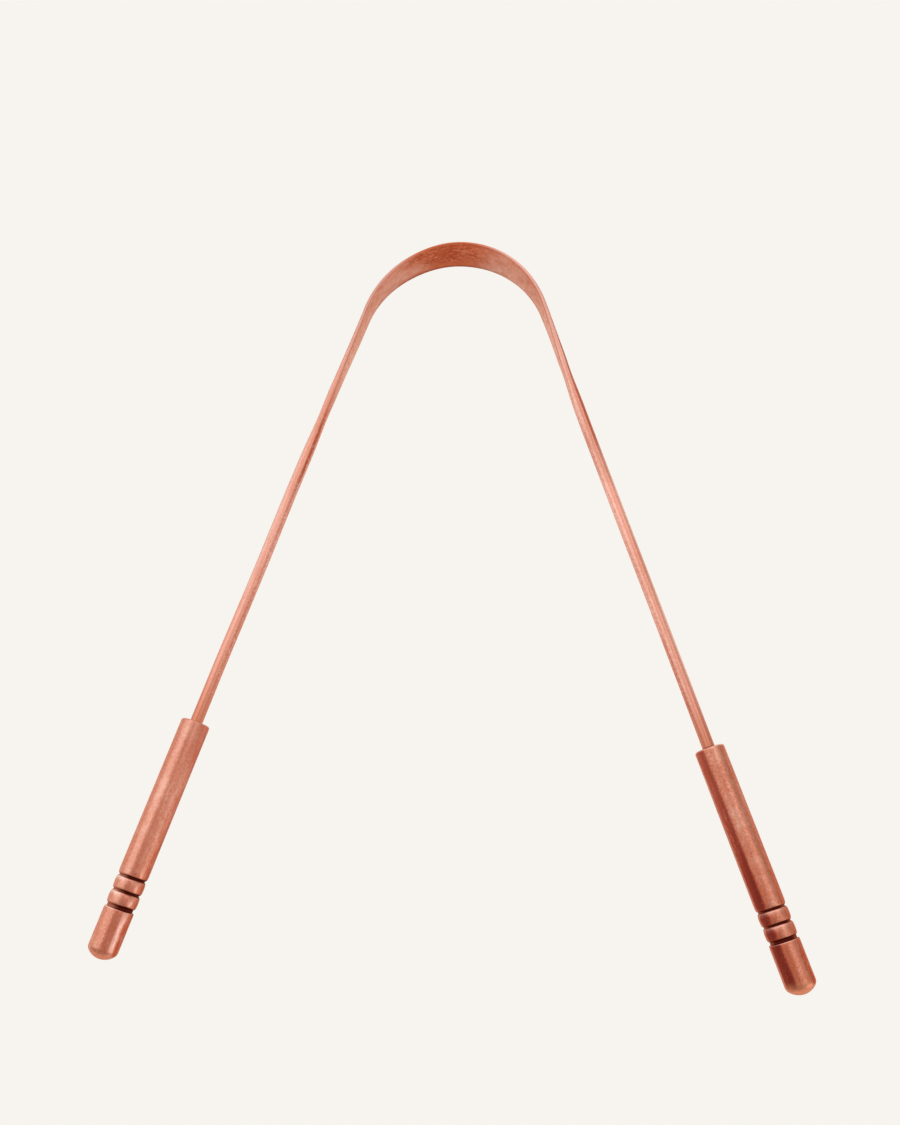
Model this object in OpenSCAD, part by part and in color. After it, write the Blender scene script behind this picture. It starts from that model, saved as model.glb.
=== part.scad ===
// Tongue scraper of bare copper: one wire is hammered flat at the middle and bent
// into an arch, and each end of it is seated in a turned handle.
// The wire lies in one plane. +Y points from the handles to the crown of the arch,
// +X to the right handle and +Z up from the table, and all lengths are in millimetres.

/* [Wire] */
// Diameter of the drawn round wire
wire_d = 2.35; // [2:0.05:2.8]

/* [Blade] */
// Width of the flattened wire at the crown of the arch
blade_w = 8.5; // [6:0.1:11]
// Length along the wire from the crown to where the left leg is round
flat_l_left = 64; // [50:1:75]
// Length along the wire from the crown to where the right leg is round
flat_l_right = 50; // [44:1:75]

/* [Arch] */
// Radius of the bend at the crown, at the middle of the wire
crown_r = 17.7; // [14:0.1:20]
// Turn of the crown bend to the left of the top, in degrees
crown_turn_left = 18; // [5:1:45]
// Turn of the crown bend to the right of the top, in degrees
crown_turn_right = 37; // [5:1:45]
// Radius of the easier bend between the crown and the left leg
bend_r_left = 23; // [16:0.1:26]
// Radius of the easier bend between the crown and the right leg
bend_r_right = 20.3; // [16:0.1:26]

/* [Legs] */
// Lean of each leg away from the middle line, in degrees
leg_lean = 17.9; // [10:0.1:25]
// Length of the straight left leg, from the end of its bend to its handle
leg_l_left = 93.4; // [70:0.1:120]
// Length of the straight right leg, from the end of its bend to its handle
leg_l_right = 99.4; // [70:0.1:120]

/* [Handles] */
// Diameter of the turned handles
handle_d = 5.5; // [4.8:0.1:8]
// Length of each handle, from its mouth to its domed tip
handle_l = 44.8; // [42:0.1:60]
// Rounding of the edge around the mouth
mouth_round = 0.45; // [0.2:0.05:0.6]
// Turn of the left handle away from the line of its leg, in degrees, and inwards below zero
handle_turn_left = -0.4; // [-1:0.1:1]
// Turn of the right handle away from the line of its leg, in degrees, and inwards below zero
handle_turn_right = 0.4; // [-1:0.1:1]
// Radius of the dome at the free end
tip_dome_r = 3.3; // [3.1:0.1:6]
// Rounding between the dome and the side of the handle
tip_round = 0.8; // [0.3:0.1:1.2]

/* [Sockets] */
// Depth of the blind hole that holds the wire
socket_depth = 12; // [6:0.5:20]
// Gap all round between the wire and the wall of its hole
socket_clearance = 0.02; // [0.01:0.01:0.1]
// Gap between the end of the wire and the bottom of its hole
socket_end_gap = 0.3; // [0.1:0.1:1]

/* [Turned grooves] */
// Distance from the mouth to the first groove
first_groove_at = 30; // [20:0.1:32]
// Width of each narrow groove at its lips
groove_w = 0.35; // [0.2:0.05:0.6]
// Width of the flat groove nearest the free end
wide_groove_w = 0.65; // [0.5:0.05:1.2]
// Depth of the narrow grooves below the side of the handle
groove_depth = 0.45; // [0.35:0.05:0.6]
// Depth of the flat groove below the side of the handle
wide_groove_depth = 0.35; // [0.35:0.05:0.6]
// Length of each rounded bead between two grooves
bead_l = 2.3; // [1.5:0.1:2.8]
// Radius of the shallow crown along each bead
bead_crown_r = 6; // [4:0.5:12]
// Radius of the shoulders that run from the beads and the barrel down to the grooves
shoulder_r = 0.7; // [0.5:0.05:0.8]
// Turn of a shoulder where it meets its groove, in degrees
shoulder_turn = 50; // [35:1:55]
// Rounding of the edge that follows the flat groove
tip_lip_round = 0.2; // [0.1:0.05:0.3]

/* [Hidden] */

// Fineness of round bodies and of the swept blade
$fn = 96;
ring_points = 16;
rings_per_side = 30;
arc_steps = 6;
dome_steps = 10;

// Floor of a narrow groove, as a share of the groove's width at its lips
groove_floor_share = 0.5;
// Crown of the blade's edges where it is widest, as a share of half its thickness
edge_crown_share = 0.5;
// How soon the corners sharpen as the wire widens
corner_power = 6;
// The swept blade ends this much thinner than the round wire that it runs into
blade_tuck = 0.04;
// Width of the flat that is left on each face at the end of the swept blade
root_flat = 0.02;
// Length by which the swept blade runs on inside the round wire
blade_lap = 0.6;
// Cuts run past the face that they open by this much
overrun = 0.5;

copper = "#c8795f";
dark_copper = "#b5654c";

handle_r = handle_d / 2;
bore_r = wire_d / 2 + socket_clearance;
tenon_l = socket_depth - socket_end_gap;

// Values of the left and the right half of the bow, chosen by side: -1 is left, 1 is right
function flat_l(side) = side < 0 ? flat_l_left : flat_l_right;
function crown_turn(side) = side < 0 ? crown_turn_left : crown_turn_right;
function bend_r(side) = side < 0 ? bend_r_left : bend_r_right;
function leg_l(side) = side < 0 ? leg_l_left : leg_l_right;
function handle_turn(side) = side < 0 ? handle_turn_left : handle_turn_right;

// Length of an arc, and the turn of an arc of a given length, in degrees
function arc_l(r, turn) = r * turn * PI / 180;
function arc_turn(r, l) = l / r * 180 / PI;

// Each half of the arch is a crown bend and then an easier bend, down to the leg
full_turn = 90 - leg_lean;
function crown_l(side) = arc_l(crown_r, crown_turn(side));
function arch_l(side) = crown_l(side) + arc_l(bend_r(side), full_turn - crown_turn(side));

// Centre of the easier bend, for a half that is drawn to the right
function bend_centre(side) = (crown_r - bend_r(side)) * [sin(crown_turn(side)), cos(crown_turn(side))];
function leg_direction() = [cos(full_turn), -sin(full_turn)];
function leg_top(side) = bend_centre(side) + bend_r(side) * [sin(full_turn), cos(full_turn)];

// Turn of the wire at a length s from the crown, and the place of its middle there
function turn_at(side, s) = s < crown_l(side) ? arc_turn(crown_r, s)
    : min(full_turn, crown_turn(side) + arc_turn(bend_r(side), s - crown_l(side)));
function half_place(side, s) = let (a = turn_at(side, s))
    s < crown_l(side) ? crown_r * [sin(a), cos(a)]
    : s < arch_l(side) ? bend_centre(side) + bend_r(side) * [sin(a), cos(a)]
    : leg_top(side) + (s - arch_l(side)) * leg_direction();

// Hammering spreads the wire and thins it, and its cross-section area stays the same. The
// section is a strip of width w and thickness t: two flat faces, and two crowned edges that
// meet them in corners. Where the wire is round the edges are half circles, and as it
// widens they get flatter, so the corners sharpen.
blade_root_d = wire_d - blade_tuck;
root_area = PI * blade_root_d * blade_root_d / 4;
function blade_width(side, s) = let (share = (1 + cos(180 * min(1, s / flat_l(side)))) / 2)
    blade_root_d + (blade_w - blade_root_d) * share;
// Height of an edge's crown, as a share of half the thickness
function crown_share(w) = edge_crown_share + (1 - edge_crown_share) * pow(blade_root_d / w, corner_power);
// Radius of a crown, as a share of half the thickness, and half the angle that it spans
function crown_radius_share(k) = (1 + k * k) / (2 * k);
function crown_angle(k) = asin(min(1, 1 / crown_radius_share(k)));
// What the crowned edges take off a plain strip's area is this share of its thickness squared
function crown_loss_share(k) = let (r = crown_radius_share(k))
    k - (r * r * crown_angle(k) * PI / 180 - (r - k)) / 2;
function blade_thickness(w) = let (loss = crown_loss_share(crown_share(w)))
    (w - sqrt(max(0, w * w - 4 * loss * root_area))) / (2 * loss);

// One ring of points around the wire at a length s from the crown: half of the points go
// round the upper edge, and the other half are the same points turned half round
edge_points = ring_points / 2;
function ring(side, s) = let (
        a = turn_at(side, s),
        p = half_place(side, s),
        w = blade_width(side, s),
        t = blade_thickness(w),
        k = crown_share(w),
        r = crown_radius_share(k) * t / 2
    ) [for (i = [0 : ring_points - 1]) let (
        half = i < edge_points ? 1 : -1,
        q = crown_angle(k) * (1 - 2 * (i % edge_points) / (edge_points - 1)),
        out = half * r * sin(q),
        up = half * (w / 2 + root_flat / 2 - r + r * cos(q))
    ) [side * (p[0] + out * sin(a)), p[1] + out * cos(a), up]];

function ring_s(side, i) = flat_l(side) * i / rings_per_side;
blade_rings = concat(
    [ring(-1, flat_l_left + blade_lap)],
    [for (i = [rings_per_side : -1 : 1]) ring(-1, ring_s(-1, i))],
    [for (i = [0 : rings_per_side]) ring(1, ring_s(1, i))],
    [ring(1, flat_l_right + blade_lap)]
);
blade_points = [for (r = blade_rings) each r];
last_ring = (len(blade_rings) - 1) * ring_points;

// The two triangles of one patch of the blade's skin
function patch(k, i) = let (
        j = (i + 1) % ring_points,
        a = k * ring_points,
        b = a + ring_points
    ) [[a + i, b + j, a + j], [a + i, b + i, b + j]];
blade_faces = concat(
    [[for (i = [0 : ring_points - 1]) i]],
    [for (k = [0 : len(blade_rings) - 2], i = [0 : ring_points - 1]) each patch(k, i)],
    [[for (i = [ring_points - 1 : -1 : 0]) last_ring + i]]
);

// Points of an arc in the handle's outline: x is the radius, y the distance from the mouth
function arc(cx, cy, r, from, to, steps) = [for (i = [0 : steps])
    let (a = from + (to - from) * i / steps) [cx + r * cos(a), cy + r * sin(a)]];

// A bead swells to the handle's radius at its middle, and each of its ends is a shoulder that
// is struck from inside the crown's arc, so the two arcs run into each other
shoulder_l = shoulder_r * sin(shoulder_turn);
crown_end = asin((bead_l / 2 - shoulder_l) / (bead_crown_r - shoulder_r));
shoulder_in = handle_r - bead_crown_r + (bead_crown_r - shoulder_r) * cos(crown_end);
function bead_middle(at) = arc(handle_r - bead_crown_r, at, bead_crown_r, -crown_end, crown_end, arc_steps);
function shoulder_down(at) = arc(shoulder_in, at - shoulder_l, shoulder_r, crown_end, shoulder_turn, arc_steps);
function shoulder_up(at) = arc(shoulder_in, at + shoulder_l, shoulder_r, -shoulder_turn, -crown_end, arc_steps);
function bead(at) = concat(
    shoulder_up(at),
    [for (i = [1 : arc_steps - 1]) bead_middle(at + bead_l / 2)[i]],
    shoulder_down(at + bead_l)
);
function narrow_groove(at) = let (floor_in = groove_w * (1 - groove_floor_share) / 2) [
    [handle_r - groove_depth, at + floor_in],
    [handle_r - groove_depth, at + groove_w - floor_in]
];
// The barrel ends like half a bead
function barrel_end(at) = concat(
    [for (i = [arc_steps / 2 : arc_steps - 1]) bead_middle(at - bead_l / 2)[i]],
    shoulder_down(at)
);

// The dome is struck about a point on the axis and blended into the side of the handle
dome_centre = handle_l - tip_dome_r;
tip_round_in = handle_r - tip_round;
tip_round_at = dome_centre + sqrt(pow(tip_dome_r - tip_round, 2) - pow(tip_round_in, 2));
tip_blend = atan2(tip_round_at - dome_centre, tip_round_in);

second_groove_at = first_groove_at + groove_w + bead_l;
wide_groove_at = second_groove_at + groove_w + bead_l;
tip_barrel_at = wide_groove_at + wide_groove_w;

handle_outline = concat(
    [[0, 0]],
    arc(handle_r - mouth_round, mouth_round, mouth_round, -90, 0, arc_steps),
    barrel_end(first_groove_at),
    narrow_groove(first_groove_at),
    bead(first_groove_at + groove_w),
    narrow_groove(second_groove_at),
    bead(second_groove_at + groove_w),
    [[handle_r - wide_groove_depth, wide_groove_at], [handle_r - wide_groove_depth, tip_barrel_at]],
    arc(handle_r - tip_lip_round, tip_barrel_at + tip_lip_round, tip_lip_round, -90, 0, arc_steps),
    arc(tip_round_in, tip_round_at, tip_round, 0, tip_blend, arc_steps),
    [for (i = [1 : dome_steps]) let (a = tip_blend + (90 - tip_blend) * i / dome_steps)
        i == dome_steps ? [0, handle_l] : [tip_dome_r * cos(a), dome_centre + tip_dome_r * sin(a)]]
);

// At rest the lower edge of the crown and the tips of the handles touch the table, so the
// plane of the bow rises a little towards the crown, which stands higher than the handles
function handle_lean(side) = leg_lean + handle_turn(side);
function mouth_y(side) = leg_top(side)[1] - leg_l(side) * cos(leg_lean);
tip_contact_y = mouth_y(1) - tip_round_at * cos(handle_lean(1));
rest_tilt = atan2((blade_w - handle_d) / 2, crown_r - tip_contact_y);
lift = handle_r * cos(rest_tilt) - tip_contact_y * sin(rest_tilt);
// The middle of the whole tool, on the table
function reach(side) = leg_top(side)[0] + leg_l(side) * sin(leg_lean)
    + tip_round_at * sin(handle_lean(side));
low_reach = mouth_y(1) - handle_l * cos(handle_lean(1));
middle = [(reach(1) - reach(-1)) / 2, (crown_r + low_reach) / 2];

module at_rest() {
    translate([-middle[0], -middle[1] * cos(rest_tilt), lift])
        rotate([rest_tilt, 0, 0])
            children();
}

// Puts a shape that is drawn along +Z on a leg, at a distance from the top of the leg
module on_leg(side, at) {
    top = leg_top(side) + at * leg_direction();
    translate([side * top[0], top[1], 0])
        rotate([90, 0, side * leg_lean])
            children();
}

// The round stretch of a leg, with the end that sits in the handle
module round_leg(side) {
    from = flat_l(side) - arch_l(side);
    on_leg(side, from)
        cylinder(d = wire_d, h = leg_l(side) + tenon_l - from);
}

module bow() {
    color(copper)
        at_rest()
            union() {
                polyhedron(points = blade_points, faces = blade_faces);
                round_leg(-1);
                round_leg(1);
            }
}

module handle(side) {
    at_rest()
        on_leg(side, leg_l(side))
            difference() {
                rotate([0, side * handle_turn(side), 0])
                    rotate_extrude()
                        polygon(handle_outline);
                translate([0, 0, -overrun])
                    cylinder(r = bore_r, h = socket_depth + overrun);
            }
}

module left_handle() {
    color(copper)
        handle(-1);
}

module right_handle() {
    color(dark_copper)
        handle(1);
}

bow();
left_handle();
right_handle();
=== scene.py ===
# %% [markdown]
# # A tongue scraper of hammered copper wire
#
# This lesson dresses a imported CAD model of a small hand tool. The real tool is one copper wire
# whose middle is hammered into a thin blade and bent to an arch, with a turned copper handle on
# each end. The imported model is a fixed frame: it says where everything is, in metres, and the
# pieces made here take its place and show what CAD leaves out, such as hammer marks, drawing
# lines and tarnish.

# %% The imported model
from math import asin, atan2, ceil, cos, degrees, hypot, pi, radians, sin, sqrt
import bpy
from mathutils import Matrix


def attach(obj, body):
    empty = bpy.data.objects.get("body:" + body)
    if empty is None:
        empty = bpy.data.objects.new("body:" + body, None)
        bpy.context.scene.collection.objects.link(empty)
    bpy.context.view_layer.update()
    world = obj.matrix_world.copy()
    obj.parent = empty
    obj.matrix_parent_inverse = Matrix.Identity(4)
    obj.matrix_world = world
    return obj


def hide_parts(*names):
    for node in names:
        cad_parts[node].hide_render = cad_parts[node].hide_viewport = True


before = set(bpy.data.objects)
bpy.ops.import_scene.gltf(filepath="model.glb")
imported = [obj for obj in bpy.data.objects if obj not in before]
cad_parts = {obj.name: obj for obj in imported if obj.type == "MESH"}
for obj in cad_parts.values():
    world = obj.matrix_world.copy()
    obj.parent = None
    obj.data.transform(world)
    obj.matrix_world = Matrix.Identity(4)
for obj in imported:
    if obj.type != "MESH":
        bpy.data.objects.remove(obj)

# %% Blender's own modules
from types import SimpleNamespace
import bpy
from mathutils import Euler, Vector

scene = bpy.context.scene
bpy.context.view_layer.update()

# %% [markdown]
# ## Sizes
#
# The sizes are those of the CAD model. They could be read back from its mesh, but named values
# say what they mean, and the curves below need the numbers themselves. Everything is in metres,
# so lengths in millimetres are multiplied by MM once, here.

# %% Sizes of the wire
MM = 0.001
LEFT = -1
RIGHT = 1

WIRE_D = 2.35 * MM
WIRE_R = WIRE_D / 2
BLADE_W = 8.5 * MM
FLAT_L = {LEFT: 64 * MM, RIGHT: 50 * MM}
CROWN_R = 17.7 * MM
CROWN_TURN = {LEFT: radians(18), RIGHT: radians(37)}
BEND_R = {LEFT: 23 * MM, RIGHT: 20.3 * MM}
LEG_LEAN = radians(17.9)
LEG_L = {LEFT: 93.4 * MM, RIGHT: 99.4 * MM}
EDGE_CROWN_SHARE = 0.5
CORNER_POWER = 6

# %% Sizes of the handles
HANDLE_R = 5.5 * MM / 2
HANDLE_L = 44.8 * MM
MOUTH_ROUND = 0.45 * MM
TIP_DOME_R = 3.3 * MM
TIP_ROUND = 0.8 * MM
SOFT_TIP_ROUND = 1.4 * MM
SOCKET_DEPTH = 12 * MM
SOCKET_CLEARANCE = 0.02 * MM
SOCKET_END_GAP = 0.3 * MM
HANDLE_TURN = {LEFT: radians(-0.4), RIGHT: radians(0.4)}
FIRST_GROOVE_AT = 30 * MM
GROOVE_W = 0.35 * MM
WIDE_GROOVE_W = 0.65 * MM
GROOVE_DEPTH = 0.35 * MM
WIDE_GROOVE_DEPTH = 0.35 * MM
GROOVE_FLOOR_SHARE = 0.5
BEAD_L = 2.3 * MM
BEAD_CROWN_R = 6.0 * MM
SHOULDER_R = 0.5 * MM
SHOULDER_TURN = radians(50)
TIP_LIP_ROUND = 0.2 * MM

# %% [markdown]
# ## The path of the wire
#
# The wire lies in one plane. From the crown, the top of the arch, it runs on each side through
# an arc about the origin, then through a second arc, and then straight down the leg. A point of
# the path is found from its length along the wire, which is how a wire worker would mark it.

# %% Places along the wire
FULL_TURN = pi / 2 - LEG_LEAN
SIDES = (LEFT, RIGHT)


def crown_l(side):
    return CROWN_R * CROWN_TURN[side]


def arch_l(side):
    return crown_l(side) + BEND_R[side] * (FULL_TURN - CROWN_TURN[side])


def turn_at(side, s):
    """How far the wire has turned at the length s from the crown."""
    if s < crown_l(side):
        return s / CROWN_R
    return min(FULL_TURN, CROWN_TURN[side] + (s - crown_l(side)) / BEND_R[side])


def path_place(side, s):
    """The middle of the wire in the bow's own plane, at the length s from the crown."""
    turn = turn_at(side, s)
    x = CROWN_R * sin(turn)
    y = CROWN_R * cos(turn)
    if s >= crown_l(side):
        apart = CROWN_R - BEND_R[side]
        x = apart * sin(CROWN_TURN[side]) + BEND_R[side] * sin(turn)
        y = apart * cos(CROWN_TURN[side]) + BEND_R[side] * cos(turn)
    straight = max(0, s - arch_l(side))
    x += straight * cos(FULL_TURN)
    y -= straight * sin(FULL_TURN)
    return Vector((side * x, y, 0))


print("lengths of the arch's halves in mm", [round(arch_l(side) / MM, 3) for side in SIDES])

# %% [markdown]
# A wire bent by hand isn't quite straight. A few soft bends of up to 0.3 mm take the drawn look
# away. Each handle follows the end of its leg, so the wire still enters its hole in the middle.

# %% Soft bends of the legs
# the place on the leg, and how far the wire stands out there, in millimetres
HAND_BENDS = {
    LEFT: ((-27, -0.12), (-12, -0.2), (2, -0.28), (22, 0), (42, 0.05), (62, -0.1), (80, -0.06),
           (94, -0.16)),
    RIGHT: ((-23, -0.12), (-6, 0.1), (3, 0.22), (30, -0.15), (52, -0.13), (72, -0.06),
            (90, -0.05))}


def smooth_step(x):
    x = min(1, max(0, x))
    return x * x * (3 - 2 * x)


def hand_bend(side, s):
    """How far the bent wire stands out of its ideal path at the length s from the crown."""
    along = (s - arch_l(side)) / MM
    bends = HAND_BENDS[side]
    for (start, low), (end, high) in zip(bends, bends[1:]):
        if along <= end:
            return (low + (high - low) * smooth_step((along - start) / (end - start))) * MM
    return bends[-1][1] * MM


# %% The centre line as a curve
CENTRE_STEP = 0.4 * MM
TENON_L = SOCKET_DEPTH - SOCKET_END_GAP


def wire_place(side, s):
    """The middle of the bent wire, at the length s from the crown."""
    turn = turn_at(side, s)
    outwards = Vector((side * sin(turn), cos(turn), 0))
    return path_place(side, s) + hand_bend(side, s) * outwards


def half_line(side):
    """Points from the crown to the end of the wire that sits in the handle."""
    reach = arch_l(side) + LEG_L[side] + TENON_L
    count = round(reach / CENTRE_STEP)
    return [wire_place(side, reach * i / count) for i in range(count + 1)]


def new_object(name, data):
    """An object at the origin, linked into the scene."""
    obj = bpy.data.objects.new(name, data)
    scene.collection.objects.link(obj)
    return obj


def line_curve(name, points):
    """A curve object with one open spline of straight steps through the points."""
    curve = bpy.data.curves.new(name, "CURVE")
    curve.dimensions = "3D"
    spline = curve.splines.new("POLY")
    spline.points.add(len(points) - 1)
    for spot, point in zip(spline.points, points):
        spot.co = (*point, 1)
    return new_object(name, curve)


left_half = half_line(LEFT)
centre_points = left_half[:0:-1] + half_line(RIGHT)
crown_place = sum((b - a).length for a, b in zip(left_half, left_half[1:]))
centre_line = line_curve("centre_line", centre_points)
print("points of the centre line", len(centre_points), "crown at mm", crown_place / MM)

# %% [markdown]
# ## Formulas in node trees
#
# Geometry and material nodes both have Math nodes, and a long formula takes many of them. A
# small class lets the script write such a formula as plain arithmetic: each sum or product adds
# one Math node and links it.

# %% Terms of a formula


def both_ways(operation):
    """The methods that let a term stand on the left or on the right of a sign."""

    def as_left(self, other):
        return calc(operation, self, other)

    def as_right(self, other):
        return calc(operation, other, self)

    return as_left, as_right


class Term:
    """A value that changes over a shape, held by a socket of a node tree."""

    __add__, __radd__ = both_ways("ADD")
    __sub__, __rsub__ = both_ways("SUBTRACT")
    __mul__, __rmul__ = both_ways("MULTIPLY")
    __truediv__, __rtruediv__ = both_ways("DIVIDE")
    __pow__, __rpow__ = both_ways("POWER")
    __lt__, __gt__ = both_ways("LESS_THAN")

    def __init__(self, tree, socket):
        self.tree = tree
        self.socket = socket

    def __abs__(self):
        return calc("ABSOLUTE", self)


def plug(value, socket):
    """Links a term to a socket, or sets the socket's own value."""
    if isinstance(value, Term):
        value.tree.links.new(value.socket, socket)
    else:
        socket.default_value = value


def tree_of(*values):
    """The node tree that the terms among some values belong to."""
    return next(value.tree for value in values if isinstance(value, Term))


def calc(operation, *values):
    """One Math node over terms and plain numbers."""
    tree = tree_of(*values)
    node = tree.nodes.new("ShaderNodeMath")
    node.operation = operation
    for value, socket in zip(values, node.inputs):
        plug(value, socket)
    return Term(tree, node.outputs[0])


def add_node(tree, kind, inputs=None, output=0, **settings):
    """A node with its settings and inputs, given back as the term of one output."""
    node = tree.nodes.new(kind)
    for name, value in settings.items():
        setattr(node, name, value)
    for name, value in (inputs or {}).items():
        plug(value, node.inputs[name])
    return Term(tree, node.outputs[output])


# %% Common steps of a formula


def between(low, high, share):
    return low + (high - low) * share


def clamp(x):
    return calc("MINIMUM", calc("MAXIMUM", x, 0), 1)


def ramp(x, start, end):
    """Rises from nought at start to one at end, with a soft start and a soft end."""
    x = clamp((x - start) / (end - start))
    return x * x * (3 - 2 * x)


def vector(x, y, z):
    return add_node(tree_of(x, y, z), "ShaderNodeCombineXYZ", {"X": x, "Y": y, "Z": z})


def parts(vec):
    """The X, Y and Z of a vector, as three terms."""
    split = vec.tree.nodes.new("ShaderNodeSeparateXYZ")
    plug(vec, split.inputs[0])
    return [Term(vec.tree, socket) for socket in split.outputs]


def scaled(vec, factor):
    return add_node(vec.tree, "ShaderNodeVectorMath", {0: vec, "Scale": factor},
                    operation="SCALE")


def moved(vec, other):
    return add_node(vec.tree, "ShaderNodeVectorMath", {0: vec, 1: other}, operation="ADD")


def noise(vec, scale, detail=2, rough=0.5, warp=0):
    """Soft noise about a half; scale is in waves per metre of the vector."""
    return add_node(vec.tree, "ShaderNodeTexNoise",
                    {"Vector": vec, "Scale": scale, "Detail": detail, "Roughness": rough,
                     "Distortion": warp})


# %% [markdown]
# ## Geometry Nodes trees
#
# Both the bow and the handles follow a rule, so a tree with named inputs makes them. Each starts
# from a grid, whose X says how far along the piece a point is and whose Y how far round it. The
# tree only has to say where each point goes. The grid's two long edges then meet, and Merge by
# Distance closes the skin along this seam and at the ends.

# %% Helpers for trees
SOCKETS = {float: "NodeSocketFloat", int: "NodeSocketInt", tuple: "NodeSocketVector",
           bpy.types.Material: "NodeSocketMaterial"}
SEAM = 0.001 * MM
UNMOVED = (0.0, 0.0, 0.0)


def add_inputs(tree, inputs):
    """A socket for each named input, given as its default value, and their terms."""
    for label, value in inputs.items():
        socket = tree.interface.new_socket(label, in_out="INPUT",
                                           socket_type=SOCKETS[type(value)])
        socket.default_value = value
    node = tree.nodes.new("NodeGroupInput")
    return {socket.name: Term(tree, socket) for socket in node.outputs if socket.name}


def new_tree(name, material, inputs):
    """An empty tree with its own named inputs and those of its place and finish."""
    tree = bpy.data.node_groups.new(name, "GeometryNodeTree")
    tree.is_modifier = True
    for way in ("INPUT", "OUTPUT"):
        tree.interface.new_socket("Geometry", in_out=way, socket_type="NodeSocketGeometry")
    rest = {"Rest turn": UNMOVED, "Rest place": UNMOVED, "Material": material}
    return tree, add_inputs(tree, inputs | rest)


def grid_of(tree, along, around):
    """A grid, with how far along and how far round each of its points is, as whole numbers."""
    mesh = add_node(tree, "GeometryNodeMeshGrid",
                    {"Size X": 1.0, "Size Y": 1.0, "Vertices X": along, "Vertices Y": around})
    index = add_node(tree, "GeometryNodeInputIndex")
    row = calc("FLOOR", (index + 0.5) / around)
    return mesh, row, index - row * around


def store(shape, values, data_type="FLOAT"):
    """Keeps named values on each point, for the material to read."""
    for name, value in values.items():
        shape = add_node(shape.tree, "GeometryNodeStoreNamedAttribute",
                         {"Geometry": shape, "Name": name, "Value": value},
                         data_type=data_type, domain="POINT")
    return shape


def close_tree(shape, given):
    """Turns the faces outwards, closes the seam, places the shape and ends the tree."""
    tree = shape.tree
    shape = add_node(tree, "GeometryNodeFlipFaces", {"Mesh": shape})
    for kind, inputs in (
            ("MergeByDistance", {"Distance": SEAM}),
            ("SetShadeSmooth", {}),
            ("Transform", {"Rotation": given["Rest turn"], "Translation": given["Rest place"]}),
            ("RealizeInstances", {}),
            ("SetMaterial", {"Material": given["Material"]})):
        shape = add_node(tree, "GeometryNode" + kind, {"Geometry": shape, **inputs})
    plug(shape, tree.nodes.new("NodeGroupOutput").inputs["Geometry"])
    return tree


def grown_mesh(obj, tree, values):
    """Runs a tree on an object, keeps the result as a plain mesh and clears the rest away."""
    modifier = obj.modifiers.new(tree.name, "NODES")
    modifier.node_group = tree
    for item in tree.interface.items_tree:
        if item.item_type == "SOCKET" and item.in_out == "INPUT" and item.name in values:
            modifier[item.identifier] = values[item.name]
    graph = bpy.context.evaluated_depsgraph_get()
    mesh = bpy.data.meshes.new_from_object(obj.evaluated_get(graph))
    obj.modifiers.remove(modifier)
    bpy.data.objects.remove(obj)
    return mesh


# %% [markdown]
# ## The hammered bow
#
# Hammering moves the copper and takes none away, so the section keeps its area: where the blade
# is wide it is thin. Its two flat faces meet edges that bulge a little. Towards the legs the
# section goes back to the round wire, and the corners between face and edge fade out. A sweep
# with a fixed profile can't do this, and neither can a taper, so the tree works the section out
# at each place, and adds the unevenness that a hammer leaves.

# %% The section of the blade


def section_of(w, root_d):
    """Radius share, half angle and thickness of the section where the blade is w wide."""
    crown = between(EDGE_CROWN_SHARE, 1, (root_d / w) ** CORNER_POWER)
    radius = (1 + crown * crown) / (2 * crown)
    angle = calc("ARCSINE", calc("MINIMUM", 1 / radius, 1))
    loss = crown - (radius * radius * angle - (radius - crown)) / 2
    area = pi / 4 * root_d * root_d
    thick = (w - calc("SQRT", w * w - 4 * loss * area)) / (2 * loss)
    return radius, angle, thick


# %% The tree of the hammered bow
EDGE_WAVES = 160
FACE_WAVES = 330
EDGE_SHIFT = 7 * MM
FACE_SHIFT = 9 * MM
CORNER_SHARPNESS = 12


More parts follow.
